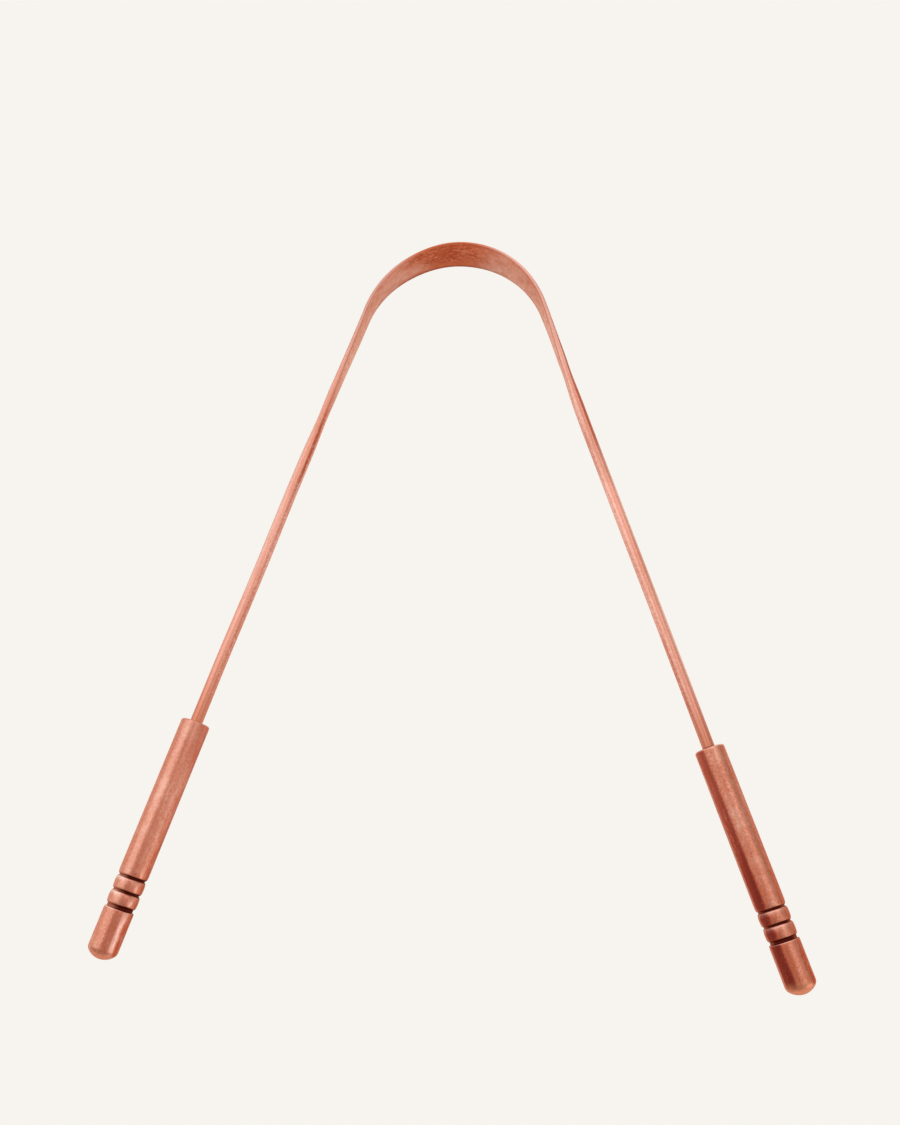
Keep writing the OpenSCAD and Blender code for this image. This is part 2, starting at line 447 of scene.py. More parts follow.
def bow_tree(material):
    tree, given = new_tree("hammered bow", material, {
        "Stations": 620, "Edge points": 9, "Face points": 9,
        "Crown place": 0.1, "Wire diameter": WIRE_D, "Blade width": BLADE_W,
        "Flat length left": FLAT_L[LEFT], "Flat length right": FLAT_L[RIGHT],
        "Edge unevenness": 0.05 * MM, "Face unevenness": 0.016 * MM, "Seed": 3.0,
        "Blade lean": (0.045, 0.02, 0.0)})
    edge_n = given["Edge points"]
    half_n = edge_n + given["Face points"]
    mesh, row, column = grid_of(tree, given["Stations"], half_n * 2 + 1)

    # the first and the last row close the ends, on top of their neighbours
    last = given["Stations"] - 1
    total = add_node(tree, "GeometryNodeCurveLength", {"Curve": given["Geometry"]})
    length = total * clamp((row - 1) / (last - 2))
    open_end = (row > 0.5) * (row < last - 0.5)
    centre = add_node(tree, "GeometryNodeSampleCurve",
                      {"Curves": given["Geometry"], "Length": length},
                      output="Position", mode="LENGTH")
    along = Term(tree, centre.socket.node.outputs["Tangent"])
    outwards = add_node(tree, "ShaderNodeVectorMath", {0: (0, 0, 1), 1: along},
                        operation="CROSS_PRODUCT")

    # the width rises from the round wire to the crown
    s = length - given["Crown place"]
    on_right = s > 0
    flat_l = between(given["Flat length left"], given["Flat length right"], on_right)
    far = calc("MINIMUM", abs(s) / flat_l, 1)
    flattened = (1 + calc("COSINE", far * pi)) / 2
    root_d = given["Wire diameter"]
    w = between(root_d, given["Blade width"], flattened)
    radius, angle, thick = section_of(w, root_d)

    # a point's place in the section with flat faces
    turned = calc("FLOOR", column / half_n)
    sign = 1 - 2 * calc("FLOORED_MODULO", turned, 2)
    step = column - turned * half_n
    on_edge = step < edge_n - 0.5
    q = angle * (1 - 2 * step / (edge_n - 1))
    r = radius * thick / 2
    to_corner = w / 2 - r + r * calc("COSINE", angle)
    across = calc("COSINE", (step - edge_n + 1) / (given["Face points"] + 1) * pi)
    edge_out = r * calc("SINE", q)
    edge_up = w / 2 - r + r * calc("COSINE", q)
    face_up = to_corner * across
    flat_out = sign * between(thick / -2, edge_out, on_edge)
    flat_up = sign * between(face_up, edge_up, on_edge)

    # its place in a plain oval, which the section is near the legs
    edge_share = (edge_n - 1) / half_n
    phi = pi * (0.5 - edge_share / 2 + column / half_n)
    cosine = calc("COSINE", phi)
    sine = calc("SINE", phi)
    cornered = ramp(w / root_d, 1.0, 1.45)
    out = between(thick / 2 * cosine, flat_out, cornered)
    up = between(w / 2 * sine, flat_up, cornered)

    # what the hammer and the hand leave
    seed = given["Seed"] * MM
    slow = vector(s, seed, seed)
    edge_wave = noise(moved(slow, vector(0, sign * EDGE_SHIFT, 0)), EDGE_WAVES, 2) - 0.5
    up = up * (1 + edge_wave * given["Edge unevenness"] * 2 / w * flattened)
    spot = vector(s, up, calc("SIGN", out) * FACE_SHIFT + seed)
    face_wave = noise(spot, FACE_WAVES, 3) - 0.5
    out = out + face_wave * given["Face unevenness"] * 2 * cornered * (1 - on_edge)
    out = out * open_end
    up = up * open_end

    lean = scaled(given["Blade lean"], up * flattened)
    place = moved(centre, moved(scaled(outwards, out), vector(0, 0, up)))
    mesh = add_node(tree, "GeometryNodeSetPosition",
                    {"Geometry": mesh, "Position": moved(place, lean)})

    # the wire unrolled: round it in X and Y, along it in Z
    unrolled = vector(root_d / 2 * cosine, root_d / 2 * sine, s)
    corner = abs(between(across, q / angle, on_edge)) ** CORNER_SHARPNESS * cornered
    mesh = store(mesh, {"wire_place": unrolled}, "FLOAT_VECTOR")
    mesh = store(mesh, {
        "flattened": flattened, "edge_band": on_edge * cornered,
        "corner": corner * calc("MAXIMUM", up < 0, between(0.3, 1, on_right)),
        "inner_face": clamp(0.5 - out / thick)})
    return close_tree(mesh, given)


# %% [markdown]
# ## How the tool lies
#
# The tool rests on the lower edge of its crown and on the tips of its handles, so the plane of
# the bow rises by about half a degree towards the crown. The origin is the middle of the tool's
# box, on the table. One turn and one place serve the bow and both handles.

# %% The rest of the bow's plane


def on_handle(side, along):
    """A point of a handle's axis, at a distance from its mouth."""
    lean = LEG_LEAN + HANDLE_TURN[side]
    mouth = path_place(side, abs(mouth_s[side]))
    return mouth + along * Vector((side * sin(lean), -cos(lean), 0))


tip_centre = HANDLE_L - TIP_DOME_R


def round_place(r):
    """How far from the mouth a corner of radius r starts, that blends barrel and dome."""
    return tip_centre + sqrt((TIP_DOME_R - r) ** 2 - (HANDLE_R - r) ** 2)


tip_round_at = round_place(TIP_ROUND)
# where the wire enters each handle, along the wire from the crown
mouth_s = {side: side * (arch_l(side) + LEG_L[side]) for side in SIDES}
contact_y = on_handle(RIGHT, tip_round_at).y
REST_TILT = atan2(BLADE_W / 2 - HANDLE_R, CROWN_R - contact_y)
LIFT = HANDLE_R * cos(REST_TILT) - contact_y * sin(REST_TILT)
middle_x = sum(on_handle(side, tip_round_at).x for side in SIDES) / 2
middle_y = (CROWN_R + on_handle(RIGHT, HANDLE_L).y) / 2
REST_PLACE = Vector((-middle_x, -middle_y * cos(REST_TILT), LIFT))
print("tilt in degrees", degrees(REST_TILT), "place in mm", REST_PLACE / MM)

# %% [markdown]
# ## The turned handles
#
# Each handle is a short copper rod, turned on a lathe: two narrow grooves, two beads, one wide
# flat groove, and a domed tip. Blender's Screw modifier or a spin could turn the outline. Here a
# tree does it, so that one tree makes both handles, keeps the depth of each groove and the
# slope of the outline for the material, and gives each handle its own nicks.

# %% The outline of a handle
ARC_STEPS = 10
DOME_STEPS = 22
LONGEST_STEP = 0.7 * MM
bore_r = WIRE_R + SOCKET_CLEARANCE


def arc(cx, cy, r, start, end, steps=ARC_STEPS):
    angles = [start + (end - start) * i / steps for i in range(steps + 1)]
    return [(cx + r * cos(a), cy + r * sin(a)) for a in angles]


def bead_end(at):
    """The crown and the rounded shoulder of a bead, from its middle to its end."""
    shoulder_l = SHOULDER_R * sin(SHOULDER_TURN)
    blend = asin((BEAD_L / 2 - shoulder_l) / (BEAD_CROWN_R - SHOULDER_R))
    shoulder_in = HANDLE_R - BEAD_CROWN_R + (BEAD_CROWN_R - SHOULDER_R) * cos(blend)
    crown = arc(HANDLE_R - BEAD_CROWN_R, at - BEAD_L / 2, BEAD_CROWN_R, 0, blend)
    return crown + arc(shoulder_in, at - shoulder_l, SHOULDER_R, blend, SHOULDER_TURN)[1:]


def bead(at):
    end = bead_end(at + BEAD_L)
    middle_z = at + BEAD_L / 2
    return [(r, 2 * middle_z - z) for r, z in end[:0:-1]] + end


def narrow_groove(at):
    floor_in = GROOVE_W * (1 - GROOVE_FLOOR_SHARE) / 2
    floor_r = HANDLE_R - GROOVE_DEPTH
    return [(floor_r, at + floor_in), (floor_r, at + GROOVE_W - floor_in)]


second_groove_at = FIRST_GROOVE_AT + GROOVE_W + BEAD_L
wide_groove_at = second_groove_at + GROOVE_W + BEAD_L
tip_barrel_at = wide_groove_at + WIDE_GROOVE_W
BORE_RIM = 0.08 * MM


def handle_outline():
    """Radius and distance from the mouth, from the bottom of the hole round to the tip."""
    floor_r = HANDLE_R - WIDE_GROOVE_DEPTH
    points = [(0, SOCKET_DEPTH), (bore_r, SOCKET_DEPTH)]
    points += [(bore_r, BORE_RIM), (bore_r + BORE_RIM, 0)]
    points += arc(HANDLE_R - MOUTH_ROUND, MOUTH_ROUND, MOUTH_ROUND, -pi / 2, 0)
    points += bead_end(FIRST_GROOVE_AT) + narrow_groove(FIRST_GROOVE_AT)
    points += bead(FIRST_GROOVE_AT + GROOVE_W) + narrow_groove(second_groove_at)
    points += bead(second_groove_at + GROOVE_W)
    points += [(floor_r, wide_groove_at), (floor_r, tip_barrel_at)]
    points += arc(HANDLE_R - TIP_LIP_ROUND, tip_barrel_at + TIP_LIP_ROUND, TIP_LIP_ROUND,
                  -pi / 2, 0)
    soft_in = HANDLE_R - SOFT_TIP_ROUND
    soft_at = round_place(SOFT_TIP_ROUND)
    soft_blend = atan2(soft_at - tip_centre, soft_in)
    points += arc(soft_in, soft_at, SOFT_TIP_ROUND, 0, soft_blend)
    points += arc(0, tip_centre, TIP_DOME_R, soft_blend, pi / 2, DOME_STEPS)[1:-1]
    return points + [(0, HANDLE_L)]


def split_long(points):
    """Adds points where the outline runs straight, so that marks have something to move."""
    result = [points[0]]
    for (r0, z0), (r1, z1) in zip(points, points[1:]):
        count = max(1, ceil(hypot(r1 - r0, z1 - z0) / LONGEST_STEP))
        result += [(r0 + (r1 - r0) * i / count, z0 + (z1 - z0) * i / count)
                   for i in range(1, count + 1)]
    return result


# turned by hand, the two rods differ a little in girth and in the length of their tips
GIRTH_SHARE = {LEFT: 1.005, RIGHT: 1.02}
TIP_EXTRA = {LEFT: 0.1 * MM, RIGHT: 0.32 * MM}


def hand_turned(points, side):
    tip_from = (tip_barrel_at + tip_centre) / 2
    return [(r * GIRTH_SHARE[side], z + TIP_EXTRA[side] * (z > tip_from)) for r, z in points]


outline = split_long(handle_outline())
print("points of a handle's outline", len(outline))

# %% The tree of a turned rod
LIPS_AT = (FIRST_GROOVE_AT, FIRST_GROOVE_AT + GROOVE_W, second_groove_at,
           second_groove_at + GROOVE_W, wide_groove_at, tip_barrel_at, tip_round_at)
LIP_REACH = 0.28 * MM
TOOL_WAVES = 190
NICKS = 900


def outline_object(name, points):
    """The outline as a chain of points that know how near a lip they are."""
    mesh = bpy.data.meshes.new(name)
    edges = [(i, i + 1) for i in range(len(points) - 1)]
    mesh.from_pydata([(r, 0, z) for r, z in points], edges, [])
    lips = mesh.attributes.new("lip", "FLOAT", "POINT")
    for item, (r, z) in zip(lips.data, points):
        near = min(abs(z - at) for at in LIPS_AT)
        proud = smooth_step((r - (HANDLE_R - GROOVE_DEPTH)) / GROOVE_DEPTH * 2)
        item.value = proud * (1 - smooth_step(near / LIP_REACH))
    rises = mesh.attributes.new("rise", "FLOAT", "POINT")
    for i, item in enumerate(rises.data):
        (r0, z0), (r1, z1) = points[max(i - 1, 0)], points[min(i + 1, len(points) - 1)]
        item.value = (r1 - r0) / max(hypot(r1 - r0, z1 - z0), 1e-9)
    return new_object(name, mesh)


def from_outline(own, row, name, data_type="FLOAT"):
    """A named value of the outline's own point in each row of the grid."""
    kept = add_node(own.tree, "GeometryNodeInputNamedAttribute", {"Name": name},
                    data_type=data_type)
    return add_node(own.tree, "GeometryNodeSampleIndex",
                    {"Geometry": own, "Value": kept, "Index": row},
                    data_type=data_type, domain="POINT")


def rod_tree(material):
    tree, given = new_tree("turned rod", material, {
        "Outline points": len(outline), "Around": 113, "Barrel radius": HANDLE_R,
        "Groove depth": GROOVE_DEPTH, "Tool waviness": 0.008 * MM, "Nick depth": 0.05 * MM,
        "Seed": 5.0})
    mesh, row, column = grid_of(tree, given["Outline points"], given["Around"])
    own = given["Geometry"]
    r, _, z = parts(from_outline(own, row, "position", "FLOAT_VECTOR"))
    angle = column / (given["Around"] - 1) * (2 * pi)
    cosine = calc("COSINE", angle)
    sine = calc("SINE", angle)

    # slow waves of the tool along the rod, and nicks on the lips
    barrel_r = given["Barrel radius"]
    outside = ramp(r / barrel_r, 0.6, 0.8)
    skin = vector(barrel_r * cosine + given["Seed"] * MM, barrel_r * sine, z)
    wave = (noise(skin, TOOL_WAVES, 2) - 0.5) * given["Tool waviness"] * 2
    nick = ramp(noise(skin, NICKS, 2), 0.56, 0.72) * from_outline(own, row, "lip")
    r_worn = r + (wave - nick * given["Nick depth"]) * outside
    place = vector(r_worn * cosine, r_worn * sine, z)
    mesh = add_node(tree, "GeometryNodeSetPosition", {"Geometry": mesh, "Position": place})

    on_beads = (z > FIRST_GROOVE_AT - BEAD_L) * (z < tip_barrel_at + TIP_LIP_ROUND)
    mesh = store(mesh, {"rod_place": vector(r * cosine, r * sine, z)}, "FLOAT_VECTOR")
    mesh = store(mesh, {
        "groove": clamp((barrel_r - r) / given["Groove depth"]) * on_beads,
        "on_beads": on_beads, "rise": from_outline(own, row, "rise"),
        "dome": ramp(z, tip_round_at - TIP_ROUND, tip_round_at + TIP_ROUND)})
    return close_tree(mesh, given)


# %% [markdown]
# ## Effects of old copper
#
# Drawing a wire and turning a rod both leave fine lines, and handling leaves dull spots and
# hair-fine scratches. These effects are on every piece, so each is a shader group, made once,
# with its own named inputs. A group only puts out masks. The material mixes its colours and its
# roughness with them.

# %% Helpers for shader groups


def new_group(name, inputs):
    """An empty shader group with its named inputs."""
    group = bpy.data.node_groups.new(name, "ShaderNodeTree")
    return group, add_inputs(group, inputs)


def give(group, outputs):
    """Ends a group with its named outputs."""
    for label in outputs:
        group.interface.new_socket(label, in_out="OUTPUT", socket_type="NodeSocketFloat")
    end = group.nodes.new("NodeGroupOutput")
    for label, value in outputs.items():
        plug(value, end.inputs[label])
    return group


def use_group(tree, group, inputs):
    """Places a group in a material and gives its outputs in their order."""
    node = tree.nodes.new("ShaderNodeGroup")
    node.node_tree = group
    for name, value in inputs.items():
        plug(value, node.inputs[name])
    return [Term(tree, socket) for socket in node.outputs]


# %% Lines along the wire


def lines_group():
    """Streaks that run along Z of the place and differ round it."""
    group, given = new_group("lengthwise lines", {
        "Place": UNMOVED, "Lines per metre": 3000.0, "Stretch": 30.0, "Wander": 0.3,
        "Seed": 0.0})
    x, y, z = parts(given["Place"])
    flat = vector(x + given["Seed"] * 10 * MM, y, z / given["Stretch"])
    sway = (noise(given["Place"], 260, 1) - 0.5) * given["Wander"] * MM
    lines = moved(flat, vector(sway, sway, 0))
    return give(group, {"Streaks": noise(lines, given["Lines per metre"] * 0.3, 3, 0.6),
                        "Fine": noise(lines, given["Lines per metre"], 2, 0.6)})


# %% Mottled tarnish and hair-fine scratches


def mottle_group():
    """Soft spots of tarnish, with finer grain inside them."""
    group, given = new_group("mottled tarnish", {
        "Place": UNMOVED, "Spots per metre": 400.0, "Grain per metre": 2800.0,
        "Start": 0.45, "End": 0.65})
    large = noise(given["Place"], given["Spots per metre"], 4, 0.62, 0.4)
    return give(group, {"Spots": ramp(large, given["Start"], given["End"]),
                        "Grain": noise(given["Place"], given["Grain per metre"], 3, 0.7)})


def scratch_group():
    """Thin curved hairlines, where a slow noise crosses a half."""
    group, given = new_group("hairline scratches", {
        "Place": UNMOVED, "Waves per metre": 350.0, "Width": 0.012})
    level = noise(given["Place"], given["Waves per metre"], 2, 0.55, 1.2)
    away = abs(level - 0.5) / given["Width"]
    broken = ramp(noise(given["Place"], given["Waves per metre"] * 2.3, 1), 0.48, 0.62)
    return give(group, {"Scratches": (1 - clamp(away)) * broken})


LINES = lines_group()
MOTTLE = mottle_group()
SCRATCHES = scratch_group()

# %% [markdown]
# ## Copper
#
# Fresh copper is pink, handled copper goes tan, and old oxide is a dark red brown. All three
# stay metallic. The tones are mixed by the masks above, and each material then sets its own
# bump and roughness. The colours are linear, as a renderer wants them.

# %% Tones of copper
FRESH = (0.90, 0.50, 0.41, 1)
ROSE = (0.87, 0.455, 0.37, 1)
WARM = (0.74, 0.36, 0.27, 1)
PALE = (0.86, 0.56, 0.44, 1)
ORANGE = (0.82, 0.34, 0.17, 1)
TAN = (0.64, 0.25, 0.16, 1)
AMBER = (0.60, 0.155, 0.062, 1)
SPECK = (0.84, 0.42, 0.25, 1)
CHESTNUT = (0.42, 0.07, 0.024, 1)
BROWN = (0.50, 0.095, 0.035, 1)
MAROON = (0.42, 0.075, 0.048, 1)
OXIDE = (0.10, 0.012, 0.008, 1)
GLINT = (0.96, 0.72, 0.65, 1)
DUSTY = (0.67, 0.365, 0.30, 1)
EDGE_TINT = (0.96, 0.78, 0.70, 1)


def blend(low, high, share):
    """Mixes two colours by a mask."""
    node = share.tree.nodes.new("ShaderNodeMix")
    node.data_type = "RGBA"
    node.clamp_factor = True
    plug(share, node.inputs[0])
    plug(low, node.inputs[6])
    plug(high, node.inputs[7])
    return Term(share.tree, node.outputs[2])


def attribute(tree, name, output="Fac"):
    return add_node(tree, "ShaderNodeAttribute", output=output, attribute_type="GEOMETRY",
                    attribute_name=name)


def new_metal(name, base):
    """A metal whose colour is built up in coats, with the functions that lay and finish it."""
    material = bpy.data.materials.new(name)
    material.use_nodes = True
    material.diffuse_color = TAN
    tree = material.node_tree
    skin = tree.nodes["Principled BSDF"]
    skin.inputs["Metallic"].default_value = 1
    skin.inputs["Specular Tint"].default_value = EDGE_TINT
    coats = [base]

    def coat(tone, share):
        coats.append(blend(coats[-1], tone, share))

    def finish(rough, height, depth):
        plug(coats[-1], skin.inputs["Base Color"])
        plug(rough, skin.inputs["Roughness"])
        bump = add_node(tree, "ShaderNodeBump", {"Height": height, "Distance": depth,
                                                 "Strength": 1.0})
        plug(bump, skin.inputs["Normal"])
        return material

    return tree, coat, finish


# %% [markdown]
# The wire's finish changes along it: drawn and streaked on the legs, pale where the arch
# starts, and worn brown at the crown. Masks say where on the wire a point is, and each function
# below lays the coats of one stretch, from the bare copper up.

# %% Masks of the wire
# how softly a stretch starts and ends, in millimetres
FADE = 8


def stretch(on, start, end, side):
    """A soft window from start to end, in millimetres from the crown."""
    along = on.s * side
    return ramp(along, start, start + FADE) * (1 - ramp(along, end - FADE, end))


def line(on, towards, width, start, end, side):
    """A soft line along the wire, at an angle round it, from start to end."""
    towards = radians(towards)
    near = (on.x * cos(towards) + on.y * sin(towards)) / WIRE_R
    return ramp(near, cos(radians(width)), 1) * stretch(on, start, end, side)


def wire_masks(tree):
    """Where on the wire a point is, with s in millimetres from the crown, and its wear."""
    on = SimpleNamespace()
    place = attribute(tree, "wire_place", "Vector")
    on.x, on.y, s = parts(place)
    on.s = s / MM
    on.height = on.y / WIRE_R
    on.lower = ramp(on.height, 0.3, -0.7)
    on.here = add_node(tree, "ShaderNodeTexCoord", output="Object")
    x, y, z = parts(on.here)
    combed = vector(x * 0.6, y, z)
    on.flattened = attribute(tree, "flattened")
    on.edge = attribute(tree, "edge_band")
    on.corner = attribute(tree, "corner")
    on.inner = ramp(attribute(tree, "inner_face"), 0.55, 0.9)
    on.face = on.inner * (1 - on.edge)
    on.streaks, on.fine = use_group(tree, LINES, {"Place": place, "Stretch": 40.0,
                                                  "Wander": 0.4})
    on.spots, on.grain = use_group(tree, MOTTLE, {
        "Place": combed, "Spots per metre": 560.0, "Grain per metre": 2100.0,
        "Start": 0.42, "End": 0.60})
    on.hairs, = use_group(tree, SCRATCHES, {"Place": combed, "Waves per metre": 520.0,
                                            "Width": 0.05})
    on.specks = ramp(on.grain, 0.55, 0.66)
    on.marks = noise(on.here, 260, 2, 0.5, 0.6)
    return on


# %% The legs
# angle round the wire, half width, and the start and end in millimetres
DIE_LINES = {LEFT: ((136, 26, 46, 72), (152, 24, 28, 54), (70, 8, 60, 100)),
             RIGHT: ((52, 30, 28, 64), (112, 8, 20, 44), (158, 26, 98, 122))}
# the same after a tone and its share, for painted highlights and painted shade on flanks of the
# legs
FLANK_LIGHT_AND_SHADE = {LEFT: ((GLINT, 0.6, 48, 36, 34, 98), (ROSE, 0.7, 131, 30, 68, 108),
                 (TAN, 0.35, 100, 34, 58, 76), (TAN, 0.65, 150, 70, 88, 132)),
          RIGHT: ((GLINT, 0.25, 150, 60, 58, 100), (WARM, 0.8, 86, 26, 60, 116),
                  (GLINT, 0.35, 42, 34, 54, 110), (OXIDE, 0.2, 84, 30, 40, 70))}
# the tone, share, start and end of each dull stretch, and where others start and end
DULL = {LEFT: (TAN, 0.62, 26, 96), RIGHT: (DUSTY, 0.95, 22, 70)}
RUBBED = {LEFT: (58, 108), RIGHT: (58, 116)}
TANNED_RIGHT = ((76, 96), (36, 70))


def coat_legs(coat, on):
    """Tan streaks, dull and rubbed stretches, dark die lines, and painted light and shade on
    flanks.
    """
    coat(WARM, ramp(on.streaks, 0.38, 0.68) * 0.8)
    coat(TAN, ramp(on.fine, 0.5, 0.75) * 0.35)
    for side in SIDES:
        tone, share, *span = DULL[side]
        coat(tone, stretch(on, *span, side) * ramp(on.streaks, 0.2, 0.6) * share)
        coat(GLINT, stretch(on, *RUBBED[side], side) * ramp(on.fine, 0.7, 0.3) * 0.25)
        for place in DIE_LINES[side]:
            coat(BROWN, line(on, *place, side) * ramp(on.fine, 0.15, 0.5) * 0.9)
        # painted highlights and painted shade along set flanks of each leg
        for tone, share, *place in FLANK_LIGHT_AND_SHADE[side]:
            coat(tone, line(on, *place, side) * share)
    for span in TANNED_RIGHT:
        coat(TAN, stretch(on, *span, RIGHT) * 0.3)


# %% The inner face of the arch


def coat_face(coat, on):
    """Pale at the arch's start, with warm streaks, painted highlights below, painted shade above,
    fine grain.
    """
    high = on.face * on.flattened
    coat(PALE, ramp(on.flattened, 0.05, 0.35) * on.face)
    coat(WARM, ramp(on.streaks, 0.42, 0.6) * between(1, 0.25, on.lower) * high * 0.9)
    coat(TAN, on.spots * between(0.45, 0.1, on.lower) * high)
    # painted highlights low on the face and on the right one's inner side, orange near the left
    # crown
    coat(blend(GLINT, ORANGE, stretch(on, 1, 17, LEFT)), on.lower * high * 0.7)
    highlight_stretches = stretch(on, 8, 50, LEFT) + stretch(on, 8, 44, RIGHT)
    coat(GLINT, on.lower * on.face * highlight_stretches * 0.45)
    coat(GLINT, on.inner * stretch(on, 22, 58, RIGHT) * 0.45)
    # painted shade on the upper half of the right face
    coat(TAN, (1 - on.lower) * stretch(on, 8, 27, RIGHT) * on.face * 0.7)
    hairlines = ramp(on.fine, 0.48, 0.62) * on.lower * stretch(on, 10, 40, LEFT)
    coat(WARM, hairlines * on.face * 0.5)
    # the grain is faint on the legs, and soft clouds show where the hammer struck
    grain_share = between(0.15, 0.5, on.face)
    coat(TAN, ramp(on.grain, 0.5, 0.36) * grain_share)
    coat(GLINT, ramp(on.grain, 0.52, 0.66) * grain_share)
    clouded = on.face * ramp(on.flattened, 0.02, 0.3)
    coat(TAN, on.spots * clouded * 0.24)
    coat(GLINT, (1 - on.spots) * clouded * 0.2)


# %% The worn patch at the crown
# in millimetres: the value half way up the blade, and what the upper edge adds to it
PATCH_AT = (-2.3, -1.6)
PATCH_HALF_L = (13, 10)


def coat_patch(coat, on):
    """A brown patch, wider in its upper half than in its lower one, with bright specks."""
    blotch = noise(on.here, 130, 2) - 0.5
    middle, half_l = [a + b * on.height for a, b in (PATCH_AT, PATCH_HALF_L)]
    away = abs(on.s - middle) / half_l
    worn = 1 - ramp(away + blotch * 0.9, between(0.1, 0.5, on.lower), 1)
    worn = between(0.06, 1, worn) * on.flattened
    coat(AMBER, worn * on.face)
    patch = ramp(on.spots * 0.55 + (0.5 - on.grain) * 3, 0.05, 0.85)
    patch = patch * between(0.8, 0.2, on.lower)
    coat(CHESTNUT, patch * ramp(worn, 0.3, 1) * on.face)
    coat(CHESTNUT, ramp(abs(on.s + 3), 6, 0) * (1 - on.lower) * on.face * 0.4)
    low_strip = ramp(on.height, -0.3, -0.6) * ramp(abs(on.s + 5), 13, 7.8)
    coat(AMBER, low_strip * (1 - worn) * on.face * 0.6)
    coat(ORANGE, ramp(on.height, -0.1, -0.5) * worn * on.face * 0.45)
    coat(SPECK, on.specks * on.face * on.flattened * 0.6)
    coat(SPECK, on.hairs * on.flattened * on.face * 0.55)


# %% The outer face, the edges and the roots
# how far the dull root and its dirt reach from the mouth of the handle, in millimetres
DULL_ROOT = 14
ROOT_DIRT = 0.35


def coat_rest(coat, on):
    """Dull copper outside, edges rubbed bright away from the crown, and dirt at the roots."""
    outer = (1 - on.inner) * (1 - on.edge) * on.flattened
    coat(TAN, clamp(ramp(on.marks, 0.4, 0.62) + on.spots) * outer * 0.4)
    coat(SPECK, (on.specks + on.hairs) * outer * 0.4)
    dull = ramp(abs(on.s + 3.5), 15, 3)
    low_right = stretch(on, 14, 46, RIGHT)
    dusty = between(0.25, 0.95, on.s < 0) + low_right * 0.65
    rubbed = blend(blend(ROSE, DUSTY, dusty), AMBER, dull * 0.9)
    coat(rubbed, on.edge * ramp(on.flattened, 0, 0.6))
    # a darker line along the corners of face and edge, mostly the lower one, strongest near the
    # crown
    corner_darkness = between(0.35, 0.8, dull) + low_right * 0.35
    coat(CHESTNUT, on.corner * on.inner * corner_darkness)
    for side in SIDES:
        to_mouth = abs(mouth_s[side]) / MM - on.s * side
        coat(TAN, ramp(to_mouth, DULL_ROOT, 0) * 0.9)
        coat(OXIDE, ramp(abs(to_mouth), ROOT_DIRT, 0.3 * ROOT_DIRT) * 0.8)


# %% The wire's copper


def wire_copper():
    tree, coat, finish = new_metal("hammered_copper", ROSE)
    on = wire_masks(tree)
    for stage in (coat_legs, coat_face, coat_patch, coat_rest):
        stage(coat, on)
    hammered = ramp(on.flattened, 0.45, 0.98)
    rough = between(0.28, 0.40, on.fine) + hammered * on.grain * 0.15
    relief = (on.fine * 0.6 + on.streaks) * (1 - hammered * 0.6)
    pits = (on.grain + on.spots + on.marks * 2) * hammered * 0.8
    return finish(rough, relief + pits - on.hairs * 0.5, 0.003 * MM)


# %% [markdown]
# The two handles share one recipe, but not one look: the right one has more tan on it, and a dark
# side that is partly tarnish and partly painted shade. The numbers that differ stand together
# here.
# Angles are in degrees round the rod from its top, and a place along it goes from 0 at the mouth
# to 1 at the tip.

# %% The looks of the two handles
LOOK = {
    LEFT: SimpleNamespace(
        name="left_handle_copper", seed=1.0, age=0.15, tip_glint=0.5, mouth_stain=0.2,
        band_at=15, band_reach=21, band_twist=0, band_low=0.2, band_high=0.28,
        glint_at=-58, dirty_at=45, shaded_at=82),
    RIGHT: SimpleNamespace(
        name="right_handle_copper", seed=4.0, age=0.4, tip_glint=0.0, mouth_stain=0.0,
        band_at=-56, band_reach=30, band_twist=7, band_low=0.6, band_high=0.95,
        glint_at=-25, dirty_at=-12, shaded_at=60)}
STAIN_AT = 95
WIDE_REACH = 80
HALO_TURN = 9
SHADED_REACH = 38
STRIPE_TURN = 36
STRIPE_REACH = 13
LINE_TURN = 45

# %% Masks of a handle


def side_band(place, centre, reach):
    """A soft band that runs along one side of a rod."""
    x, y = place
    centre = radians(centre)
    towards = (x * sin(centre) + y * cos(centre)) / HANDLE_R
    return ramp(towards, cos(radians(reach)), 1)


def rod_masks(tree, seed):
    """Where on the rod a point is, and the effects of old copper there."""
    on = SimpleNamespace()
    place = attribute(tree, "rod_place", "Vector")
    x, y, z = parts(place)
    on.side = x, y
    on.along = z / HANDLE_L
    for name in ("groove", "rise", "on_beads", "dome"):
        setattr(on, name, attribute(tree, name))
    on.lines, on.fine_lines = use_group(tree, LINES, {
        "Place": place, "Lines per metre": 2600.0, "Stretch": 9.0, "Wander": 1.3,
        "Seed": seed})
    on.spots, on.grain = use_group(tree, MOTTLE, {
        "Place": place, "Spots per metre": 260.0, "Grain per metre": 2600.0,
        "Start": 0.44, "End": 0.66})
    on.hairs, = use_group(tree, SCRATCHES, {"Place": place, "Waves per metre": 420.0,
                                            "Width": 0.03})
    on.streaks = ramp(on.lines, 0.34, 0.66)
    on.fine = ramp(on.fine_lines, 0.35, 0.65)
    on.grainy = ramp(on.grain, 0.35, 0.65)
    on.specks = ramp(on.grain, 0.54, 0.66)
    creep = noise(place, 420, 2) * 0.5 - 0.12 - on.rise * 0.15
    on.rust = ramp(on.groove + creep, 0.1, 0.5)
    on.deep = ramp(on.groove + creep, 0.32, 0.6)
    on.patchy = noise(place, 700, 2)
    return on


# %% The body of a handle


